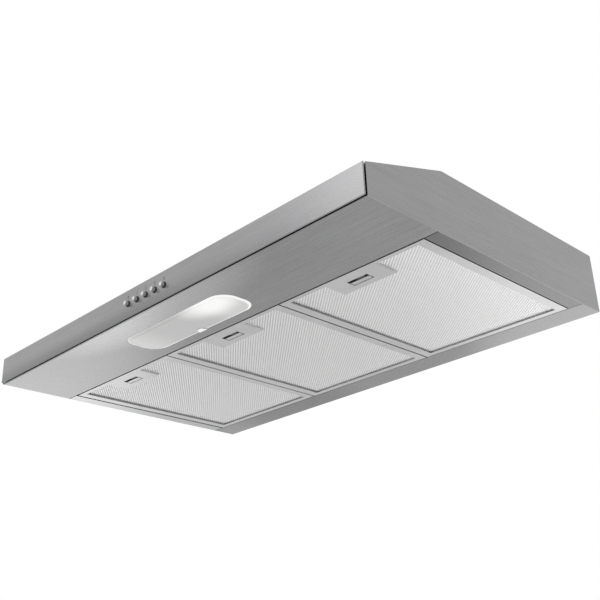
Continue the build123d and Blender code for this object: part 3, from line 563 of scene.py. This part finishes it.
# slot: name, dark, pale, roughness, grain per metre and bump
plastics = {
    "black_plastic": (
        "blackPlastic", (0.022, 0.022, 0.024), (0.04, 0.04, 0.042), 0.5, 1800.0, 0.18,
    ),
    "grey_plastic": ("greyPlastic", (0.16, 0.165, 0.17), (0.22, 0.225, 0.23), 0.52, 1800.0, 0.18),
    "white_plastic": ("whitePlastic", (0.72, 0.72, 0.70), (0.80, 0.80, 0.78), 0.42, 1800.0, 0.18),
    "white_enamel": ("whiteEnamel", (0.78, 0.78, 0.76), (0.84, 0.84, 0.82), 0.22, 260.0, 0.06),
    "porcelain": ("porcelain", (0.74, 0.72, 0.68), (0.82, 0.80, 0.76), 0.2, 400.0, 0.04),
}

# slot: name, dark, pale, roughness, grain per metre and metallic
satins = {
    "filter_aluminium": ("filterSheet", (0.58, 0.58, 0.58), (0.66, 0.66, 0.66), 0.36, 700.0, 1.0),
    "spring_steel": ("springSteel", (0.46, 0.46, 0.47), (0.60, 0.60, 0.61), 0.28, 1200.0, 1.0),
    "screw_steel": ("screwSteel", (0.44, 0.44, 0.43), (0.62, 0.62, 0.60), 0.34, 1600.0, 1.0),
    "motor_paint": ("motorPaint", (0.03, 0.03, 0.032), (0.055, 0.055, 0.058), 0.4, 500.0, 0.0),
    "bronze": ("bronze", (0.36, 0.22, 0.09), (0.52, 0.34, 0.15), 0.45, 900.0, 1.0),
}

# slot: name, dark, pale and sheets per metre
laminates = {
    "core_steel": ("coreSteel", (0.16, 0.16, 0.17), (0.36, 0.36, 0.37), 2000.0),
    "copper": ("copperWire", (0.30, 0.11, 0.04), (0.72, 0.36, 0.18), 1600.0),
}

# node: name, axis of the grain, tone (darker copies of the same steel, a painted shade), and where
# which other colour shows
panels = {
    "left_end_panel": ("brushedLeftEnd", 1, 0.92, leftFlange, "paintedFlangeSheen"),
    "right_end_panel": ("brushedRightEnd", 1, 0.92, rightFlange, "paintedDeepShade"),
    "front_fascia": ("brushedFascia", 0, 1.0, fasciaPaintedShade, "dull"),
    "lamp_panel": ("brushedPanel", 0, 0.97, paintedFrontSheen, "paintedSheen"),
    "rear_panel": ("brushedRear", 0, 0.84, rearStrip, "paintedDeepShade"),
}


# name, dark, pale, roughness and grain per metre
coreFoil = ("coreFoil", (0.84, 0.84, 0.84), (0.92, 0.92, 0.92), 0.4, 500.0)


def finishFilters():
    v = filterRail
    sheets = {
        "filter_frame": makeFilterRail(),
        "catch_plate": makeSatin("catchSheet", v["dark"], v["pale"], v["roughness"], v["grain"]),
        "filter_core": makeSatin(*coreFoil),
    }
    return {f"{node}_{side}": sheet for node, sheet in sheets.items() for side in sideNames}


finishBySlot = {
    "stainless": makeBrushed("brushedAcross", 0),
    "galvanised": makeZinc(),
    "button_metal": makeTurned(),
    "lens_plastic": makeLens(),
    "bulb_glass": makeBulb(),
}
finishBySlot.update({slot: makePlastic(*values) for slot, values in plastics.items()})
finishBySlot.update({slot: makeSatin(*values) for slot, values in satins.items()})
finishBySlot.update({slot: makeLaminated(*values) for slot, values in laminates.items()})
finishByNode = {node: makeBrushed(*values) for node, values in panels.items()}
finishByNode.update(finishFilters())
for part in frame["record"]["subparts"]:
    finish = finishByNode.get(part["node"], finishBySlot[part["material_slot"]])
    materials = nodes[part["node"]].data.materials
    materials.clear()
    materials.append(finish)
print("finishes on", len(nodes), "nodes")


# Pieces made by Geometry Nodes

class Tree:
    # a Geometry Nodes tree with named inputs
    def __init__(self, name, labels):
        self.tree = bpy.data.node_groups.new(name, "GeometryNodeTree")
        face = self.tree.interface
        for way in ("INPUT", "OUTPUT"):
            face.new_socket("Geometry", in_out=way, socket_type="NodeSocketGeometry")
        for label in labels:
            face.new_socket(label, in_out="INPUT", socket_type="NodeSocketFloat")
        self.inlet = self.tree.nodes.new("NodeGroupInput")
        self.outlet = self.tree.nodes.new("NodeGroupOutput")

    def given(self, label):
        return Wire(self.tree, self.inlet.outputs[label])

    def add(self, kind, settings=None, sockets=None, out=0):
        return Wire.make(self.tree, kind, settings, sockets, out)

    def shift(self, shape, rise):
        step = self.add("ShaderNodeCombineXYZ", {}, {"Z": rise})
        return self.add("GeometryNodeTransform", {}, {"Geometry": shape, "Translation": step})

    def close(self, shape, material):
        real = self.add("GeometryNodeRealizeInstances", {}, {0: shape})
        coated = self.add("GeometryNodeSetMaterial", {}, {"Geometry": real, "Material": material})
        self.tree.links.new(coated.socket, self.outlet.inputs[0])

    def bake(self, name, values, start=None):
        host = bpy.data.objects.new(name + "Host", start or bpy.data.meshes.new(name + "Host"))
        scene.collection.objects.link(host)
        modifier = host.modifiers.new("tree", "NODES")
        modifier.node_group = self.tree
        for item in self.tree.interface.items_tree:
            if item.in_out == "INPUT" and item.name in values:
                modifier[item.identifier] = values[item.name]
        graph = bpy.context.evaluated_depsgraph_get()
        mesh = bpy.data.meshes.new_from_object(host.evaluated_get(graph), depsgraph=graph)
        host.modifiers.remove(modifier)
        bpy.data.objects.remove(host)
        mesh.name = name
        piece = bpy.data.objects.new(name, mesh)
        scene.collection.objects.link(piece)
        return piece


expandedMesh = {
    "cellX": 0.00535,
    "cellY": 0.0045,
    "strandWidth": 0.0016,
    "strandThickness": 0.00028,
    "tilt": math.radians(-22),
    "trimSide": 0.007,
    "trimFront": 0.002,
    "trimRear": 0.004,
    "underPlate": 0.002,
}


def strandLayer(tree):
    # rows of zigzag strands that touch at their bends, as slit and stretched foil does
    width = tree.given("Width")
    length = tree.given("Length")
    cellY = tree.given("CellY")
    strand = tree.given("StrandWidth")
    columns = (width / tree.given("CellX") * 2.0).math("ROUND")
    rows = (length / cellY * 2.0).math("ROUND")
    sockets = {"Size X": width, "Size Y": length, "Vertices X": columns, "Vertices Y": rows}
    grid = tree.add("GeometryNodeMeshGrid", {}, sockets)
    index = tree.add("GeometryNodeInputIndex")
    column = ((index + 0.01) / rows).math("FLOOR")  # a little more, so that whole shares stay
    row = index - column * rows
    parity = (column + row).math("FLOORED_MODULO", 2.0)
    bend = (parity * 2.0 - 1.0) * (cellY / 4.0 - strand * 0.25)
    offset = tree.add("ShaderNodeCombineXYZ", {}, {"Y": bend})
    waved = tree.add("GeometryNodeSetPosition", {}, {"Geometry": grid, "Offset": offset})
    turn = ((column + row + 1.0) / 2.0).math("FLOOR")
    marked = tree.add(
        "GeometryNodeStoreNamedAttribute",
        {"data_type": "FLOAT", "domain": "POINT"},
        {"Geometry": waved, "Name": "strandTurn", "Value": turn},
    )
    # a grid's edges along Y join points numbered one after the other, and are taken out
    oneEnd = tree.add("GeometryNodeInputMeshEdgeVertices")
    apart = (oneEnd - oneEnd.beside(1)).math("ABSOLUTE")
    strands = tree.add(
        "GeometryNodeDeleteGeometry",
        {"domain": "EDGE", "mode": "EDGE_FACE"},
        {"Geometry": marked, "Selection": apart < 1.5},
    )
    spot = tree.add("GeometryNodeInputPosition")
    across = spot.axis("X").math("ABSOLUTE")
    inNotch = (across < tree.given("NotchHalf")) * (spot.axis("Y") < tree.given("NotchRear"))
    cut = tree.add(
        "GeometryNodeDeleteGeometry",
        {"domain": "POINT", "mode": "ALL"},
        {"Geometry": strands, "Selection": inNotch},
    )
    lines = tree.add("GeometryNodeMeshToCurve", {}, {"Mesh": cut})
    level = tree.add("GeometryNodeSetCurveNormal", {"mode": "Z_UP"}, {"Curve": lines})
    sockets = {"Curve": level, "Tilt": tree.given("Tilt")}
    turned = tree.add("GeometryNodeSetCurveTilt", {}, sockets)
    sockets = {"Width": strand, "Height": tree.given("StrandThickness")}
    ribbon = tree.add("GeometryNodeCurvePrimitiveQuadrilateral", {"mode": "RECTANGLE"}, sockets)
    sockets = {"Curve": turned, "Profile Curve": ribbon, "Fill Caps": True}
    return tree.add("GeometryNodeCurveToMesh", {}, sockets)


def makeMeshTree():
    labels = ["Width", "Length", "CellX", "CellY", "StrandWidth", "StrandThickness"]
    tree = Tree("expandedMesh", labels + ["Tilt", "NotchHalf", "NotchRear"])
    tree.close(strandLayer(tree), makeMeshFoil())
    return tree


def makeFilterMeshes():
    v = expandedMesh
    tree = makeMeshTree()
    for side in sideNames:
        low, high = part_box(f"filter_mesh_{side}")
        plateLow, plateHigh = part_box(f"catch_plate_{side}")
        front = low.y + v["trimFront"]
        rear = high.y - v["trimRear"]
        centre = Vector(((low.x + high.x) / 2, (front + rear) / 2, (low.z + high.z) / 2))
        piece = tree.bake(
            f"expanded_mesh_{side}",
            {
                "Width": high.x - low.x - 2 * v["trimSide"],
                "Length": rear - front,
                "CellX": v["cellX"],
                "CellY": v["cellY"],
                "StrandWidth": v["strandWidth"],
                "StrandThickness": v["strandThickness"],
                "Tilt": v["tilt"],
                "NotchHalf": (plateHigh.x - plateLow.x) / 2 - v["underPlate"],
                "NotchRear": plateHigh.y - v["underPlate"] - centre.y,
            },
        )
        piece.data.transform(Matrix.Translation(centre))
        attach(piece, f"filter_{side}")
        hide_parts(f"filter_mesh_{side}")
        print("expanded mesh", side, len(piece.data.polygons), "faces")


makeFilterMeshes()


crossScrews = {
    "deck_screws": {"HeadRadius": 0.0036, "HeadHeight": 0.0024, "ShankRadius": 0.002},
    "small_screws": {"HeadRadius": 0.0028, "HeadHeight": 0.0018, "ShankRadius": 0.0015},
}
# in head radii
screwShares = {"SlotLength": 1.2, "SlotWidth": 0.26, "SlotDepth": 0.34, "DomeRadius": 1.7}
screwBuild = {
    "headSides": 32,
    "domeSides": 48,
    "shankSides": 24,
    "sunk": 0.9,  # of the head's height, where the shank starts inside it
    "endReach": 1e-4,  # points this near to a screw's end belong to it
    "weldReach": 1e-6,
}


def screwPlace(points, headRadius):
    # tip of the head, the way it faces and the whole length
    low = Vector([min(point[i] for point in points) for i in range(3)])
    high = Vector([max(point[i] for point in points) for i in range(3)])
    axis = max(range(3), key=lambda i: abs(high[i] - low[i] - 2 * headRadius))
    middle = (low + high) / 2

    def spread(end):
        reach = screwBuild["endReach"]
        near = [point - middle for point in points if abs(point[axis] - end) < reach]
        return max(sum(step[i] ** 2 for i in range(3) if i != axis) for step in near)

    headIsLow = spread(low[axis]) > spread(high[axis])
    middle[axis] = low[axis] if headIsLow else high[axis]
    facing = Vector((0, 0, 0))
    facing[axis] = -1 if headIsLow else 1
    return tuple(middle), tuple(facing), high[axis] - low[axis]


def screwPlaces(node, headRadius):
    shape = bmesh.new()
    shape.from_mesh(nodes[node].data)
    bmesh.ops.remove_doubles(shape, verts=shape.verts, dist=screwBuild["weldReach"])
    left = set(shape.verts)
    places = []
    while left:
        island = [left.pop()]
        for vert in island:
            for edge in vert.link_edges:
                other = edge.other_vert(vert)
                if other in left:
                    left.remove(other)
                    island.append(other)
        places.append(screwPlace([vert.co.copy() for vert in island], headRadius))
    shape.free()
    return sorted(places)


def pointMesh(name, places):
    mesh = bpy.data.meshes.new(name)
    mesh.from_pydata([tip for tip, facing, length in places], [], [])
    # each attribute is filled before the next is made, which moves the first one's data
    ways = mesh.attributes.new("facing", "FLOAT_VECTOR", "POINT")
    for spot, (tip, facing, length) in zip(ways.data, places):
        spot.vector = facing
    lengths = mesh.attributes.new("length", "FLOAT", "POINT")
    for spot, (tip, facing, length) in zip(lengths.data, places):
        spot.value = length
    return mesh


def screwHead(tree):
    # a domed head with a cross recess, its tip at the origin
    height = tree.given("HeadHeight")
    dome = tree.given("DomeRadius")
    sides = screwBuild["headSides"]
    sockets = {"Vertices": sides, "Radius": tree.given("HeadRadius"), "Depth": height}
    blank = tree.shift(tree.add("GeometryNodeMeshCylinder", {}, sockets), height * -0.5)
    sides = screwBuild["domeSides"]
    sockets = {"Segments": sides, "Rings": sides, "Radius": dome}
    ball = tree.shift(tree.add("GeometryNodeMeshUVSphere", {}, sockets), dome * -1.0)
    settings = {"operation": "INTERSECT", "solver": "EXACT"}
    head = tree.add("GeometryNodeMeshBoolean", settings, {"Mesh 2": [blank, ball]})
    slots = []
    for x, y in (("SlotLength", "SlotWidth"), ("SlotWidth", "SlotLength")):
        sockets = {"X": tree.given(x), "Y": tree.given(y), "Z": tree.given("SlotDepth") * 2.0}
        size = tree.add("ShaderNodeCombineXYZ", {}, sockets)
        slots.append(tree.add("GeometryNodeMeshCube", {}, {"Size": size}))
    settings = {"operation": "DIFFERENCE", "solver": "EXACT"}
    return tree.add("GeometryNodeMeshBoolean", settings, {"Mesh 1": head, "Mesh 2": slots})


def makeScrewTree():
    # a head on a plain shank at each point
    labels = ["HeadRadius", "HeadHeight", "ShankRadius"]
    tree = Tree("crossScrew", labels + list(screwShares))
    points = tree.given("Geometry")
    named = "GeometryNodeInputNamedAttribute"
    facing = tree.add(named, {"data_type": "FLOAT_VECTOR"}, {"Name": "facing"})
    length = tree.add(named, {"data_type": "FLOAT"}, {"Name": "length"})
    turn = tree.add("FunctionNodeAlignRotationToVector", {"axis": "Z"}, {"Vector": facing})
    sockets = {"Points": points, "Instance": screwHead(tree), "Rotation": turn}
    heads = tree.add("GeometryNodeInstanceOnPoints", {}, sockets)
    sunk = tree.given("HeadHeight") * screwBuild["sunk"]
    sides = screwBuild["shankSides"]
    sockets = {"Vertices": sides, "Radius": tree.given("ShankRadius"), "Depth": 1.0}
    rod = tree.shift(tree.add("GeometryNodeMeshCylinder", {}, sockets), -0.5)
    sockets = {0: facing, "Scale": sunk * -1.0}
    inward = tree.add("ShaderNodeVectorMath", {"operation": "SCALE"}, sockets)
    starts = tree.add("GeometryNodeSetPosition", {}, {"Geometry": points, "Offset": inward})
    stretch = tree.add("ShaderNodeCombineXYZ", {}, {"X": 1.0, "Y": 1.0, "Z": length - sunk})
    sockets = {"Points": starts, "Instance": rod, "Rotation": turn, "Scale": stretch}
    rods = tree.add("GeometryNodeInstanceOnPoints", {}, sockets)
    screws = tree.add("GeometryNodeJoinGeometry", {}, {0: [heads, rods]})
    tree.close(screws, finishBySlot["screw_steel"])
    return tree


def makeScrews():
    tree = makeScrewTree()
    for node, sizes in crossScrews.items():
        places = screwPlaces(node, sizes["HeadRadius"])
        values = {label: share * sizes["HeadRadius"] for label, share in screwShares.items()}
        piece = tree.bake(f"cross_{node}", {**sizes, **values}, pointMesh(node + "Places", places))
        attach(piece, "hood")
        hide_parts(node)
        print(node, len(places), "screws,", len(piece.data.polygons), "faces")


makeScrews()


# Printed marks on the fascia

fasciaMarks = {
    "labels": ["0", "1", "2", "3", "lamp"],
    "height": 0.0052,
    "textSize": 1.4,  # in heights
    "rise": 0.0092,  # above a button's middle
    "thickness": 0.00004,
    "black": (0.02, 0.02, 0.022),
    "worn": (0.05, 0.05, 0.052),
    "wear": 2500.0,  # per metre
    "roughness": 0.5,
}
lampShares = {
    "steps": 24,
    "rays": 8,
    "inner": 0.2,  # in heights, as the next ones
    "outer": 0.28,
    "rayStart": 0.36,
    "rayEnd": 0.5,
    "rayHalfWidth": 0.035,
}


def makeInk():
    v = fasciaMarks
    finish = Finish("markInk", Roughness=v["roughness"])
    finish.feed("Base Color", finish.place.noise(v["wear"]).colours(v["black"], v["worn"]))
    return finish.material


def flatText(words, height):
    curve = bpy.data.curves.new("mark", "FONT")
    curve.body = words
    curve.size = height * fasciaMarks["textSize"]
    curve.align_x = "CENTER"
    curve.align_y = "CENTER"
    host = bpy.data.objects.new("mark", curve)
    scene.collection.objects.link(host)
    graph = bpy.context.evaluated_depsgraph_get()
    mesh = bpy.data.meshes.new_from_object(host.evaluated_get(graph), depsgraph=graph)
    bpy.data.objects.remove(host)
    return mesh


def waysRound(count):
    turns = [2 * math.pi * i / count for i in range(count)]
    return [Vector((math.cos(turn), math.sin(turn), 0)) for turn in turns]


def lampSign(height):
    # a ring with short rays round it
    v = lampShares
    shape = bmesh.new()
    ring = []
    for way in waysRound(v["steps"]):
        inner = shape.verts.new(way * height * v["inner"])
        outer = shape.verts.new(way * height * v["outer"])
        ring.append((inner, outer))
    for one, two in zip(ring, ring[1:] + ring[:1]):
        shape.faces.new((one[0], one[1], two[1], two[0]))
    for way in waysRound(v["rays"]):
        side = Vector((-way.y, way.x, 0)) * height * v["rayHalfWidth"]
        near = way * height * v["rayStart"]
        far = way * height * v["rayEnd"]
        corners = [near - side, far - side, far + side, near + side]
        shape.faces.new([shape.verts.new(corner) for corner in corners])
    mesh = bpy.data.meshes.new("lampSign")
    shape.to_mesh(mesh)
    shape.free()
    return mesh


def makeFasciaMarks():
    v = fasciaMarks
    ink = makeInk()
    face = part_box("front_fascia")[0].y - v["thickness"]
    upright = Matrix.Rotation(math.pi / 2, 4, "X")
    for number, label in enumerate(v["labels"], 1):
        low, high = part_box(f"button_{number}")
        place = Vector(((low.x + high.x) / 2, face, (low.z + high.z) / 2 + v["rise"]))
        mesh = lampSign(v["height"]) if label == "lamp" else flatText(label, v["height"])
        mesh.transform(Matrix.Translation(place) @ upright)
        mesh.materials.clear()
        mesh.materials.append(ink)
        piece = bpy.data.objects.new(f"button_mark_{number}", mesh)
        scene.collection.objects.link(piece)
        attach(piece, "hood")


makeFasciaMarks()
print("fascia marks made")


# Stage, light and camera

studio = {
    "floorDrop": 1.7,
    "floorRadius": 7.0,
    "floorPlain": 4.0,  # inside this radius the floor is plain, outside it fades to the background
    "floorSides": 96,
    "floorGrey": 0.75,
    "floorRoughness": 0.9,
    "floorGlow": 0.45,
    "poolPlace": (0.35, 0.5),  # a brighter part of the floor, which the underside mirrors
    "poolRadius": 1.7,
    "poolCore": 0.25,  # of its radius
    "poolGlow": 0.75,
    "poolLift": 0.85,
    "worldLight": 0.6,
}


def makeFloor():
    v = studio
    shape = bmesh.new()
    bmesh.ops.create_circle(
        shape, cap_ends=True, segments=v["floorSides"], radius=v["floorRadius"]
    )
    mesh = bpy.data.meshes.new("floor")
    shape.to_mesh(mesh)
    shape.free()
    mesh.transform(Matrix.Translation((0, 0, -v["floorDrop"])))
    floor = bpy.data.objects.new("floor", mesh)
    scene.collection.objects.link(floor)
    grey = (*[v["floorGrey"]] * 3, 1.0)
    finish = Finish("paleFloor", Roughness=v["floorRoughness"], Base_Color=grey)
    spot = finish.place
    x = spot.axis("X")
    y = spot.axis("Y")
    radius = (x * x + y * y).math("SQRT")
    edge = radius.between(v["floorPlain"], v["floorRadius"], v["floorGlow"], 1.0)
    poolX = x - v["poolPlace"][0]
    poolY = y - v["poolPlace"][1]
    away = (poolX * poolX + poolY * poolY).math("SQRT")
    camera = spot.node("ShaderNodeLightPath", {}, {}, "Is Camera Ray")
    core = v["poolRadius"] * v["poolCore"]
    pool = away.between(core, v["poolRadius"], 1.0, 0.0) * (1.0 - camera)
    fade = edge + pool * v["poolGlow"]
    white = spot.node("ShaderNodeEmission", {}, {"Strength": 1.0 + pool * v["poolLift"]})
    plain = Wire(finish.tree, finish.shader.outputs[0])
    mixed = spot.node("ShaderNodeMixShader", {}, {0: fade, 1: plain, 2: white})
    output = finish.tree.nodes["Material Output"]
    finish.tree.links.new(mixed.socket, output.inputs["Surface"])
    mesh.materials.append(finish.material)


def makeWorld():
    light = studio["worldLight"]
    world = bpy.data.worlds.new("studioWorld")
    scene.world = world
    world.use_nodes = True
    back = world.node_tree.nodes["Background"]
    camera = Wire.make(world.node_tree, "ShaderNodeLightPath", {}, {}, "Is Camera Ray")
    seen = camera + camera.beside("Is Glossy Ray") + camera.beside("Is Transmission Ray")
    seen = camera.node("ShaderNodeClamp", {}, {"Value": seen})
    strength = seen * (1.0 - light) + light
    world.node_tree.links.new(strength.socket, back.inputs["Strength"])
    back.inputs["Color"].default_value = (1.0, 1.0, 1.0, 1.0)


softLights = {
    "lowLeft": {"place": (-2.9, 0.94, -1.38), "size": 1.4, "watts": 3.7},
    "lowBack": {"place": (-0.6, 2.35, -1.05), "size": 1.2, "watts": 2.5},
    "lowRight": {"place": (1.3, 1.85, -1.12), "size": 1.4, "watts": 4.0},
    "topFront": {"place": (-1.4, -2.9, 2.0), "size": 1.2, "watts": 5.5},
}
lightAim = (0, 0, -0.04)


def makeLights():
    for name, v in softLights.items():
        lamp = bpy.data.lights.new(name, "AREA")
        lamp.shape = "DISK"
        lamp.size = v["size"]
        lamp.energy = v["watts"]
        holder = bpy.data.objects.new(name, lamp)
        scene.collection.objects.link(holder)
        turned = (Vector(lightAim) - Vector(v["place"])).to_track_quat("-Z", "Y")
        holder.matrix_world = Matrix.Translation(v["place"]) @ turned.to_matrix().to_4x4()


photoCamera = {
    "place": (0.89770, -0.91950, -0.55402),
    "yaw": math.radians(-45.0),
    "pitch": math.radians(23.940),
    "roll": math.radians(-2.027),
    "lens": 54.675,
    "sensor": 36.0,
}


def makeCamera():
    v = photoCamera
    flat = math.cos(v["pitch"])
    level = Vector((math.cos(v["yaw"]), -math.sin(v["yaw"]), 0))
    ahead = Vector((math.sin(v["yaw"]) * flat, math.cos(v["yaw"]) * flat, math.sin(v["pitch"])))
    upright = level.cross(ahead)
    right = level * math.cos(v["roll"]) + upright * math.sin(v["roll"])
    up = upright * math.cos(v["roll"]) - level * math.sin(v["roll"])
    data = bpy.data.cameras.new("photoCamera")
    data.lens = v["lens"]
    data.sensor_width = v["sensor"]
    camera = bpy.data.objects.new("photoCamera", data)
    scene.collection.objects.link(camera)
    turned = Matrix((right, up, -ahead)).transposed().to_4x4()
    camera.matrix_world = Matrix.Translation(v["place"]) @ turned
    scene.camera = camera


makeFloor()
makeWorld()
makeLights()
makeCamera()
scene.view_settings.view_transform = "Standard"
print("stage, light and camera set")
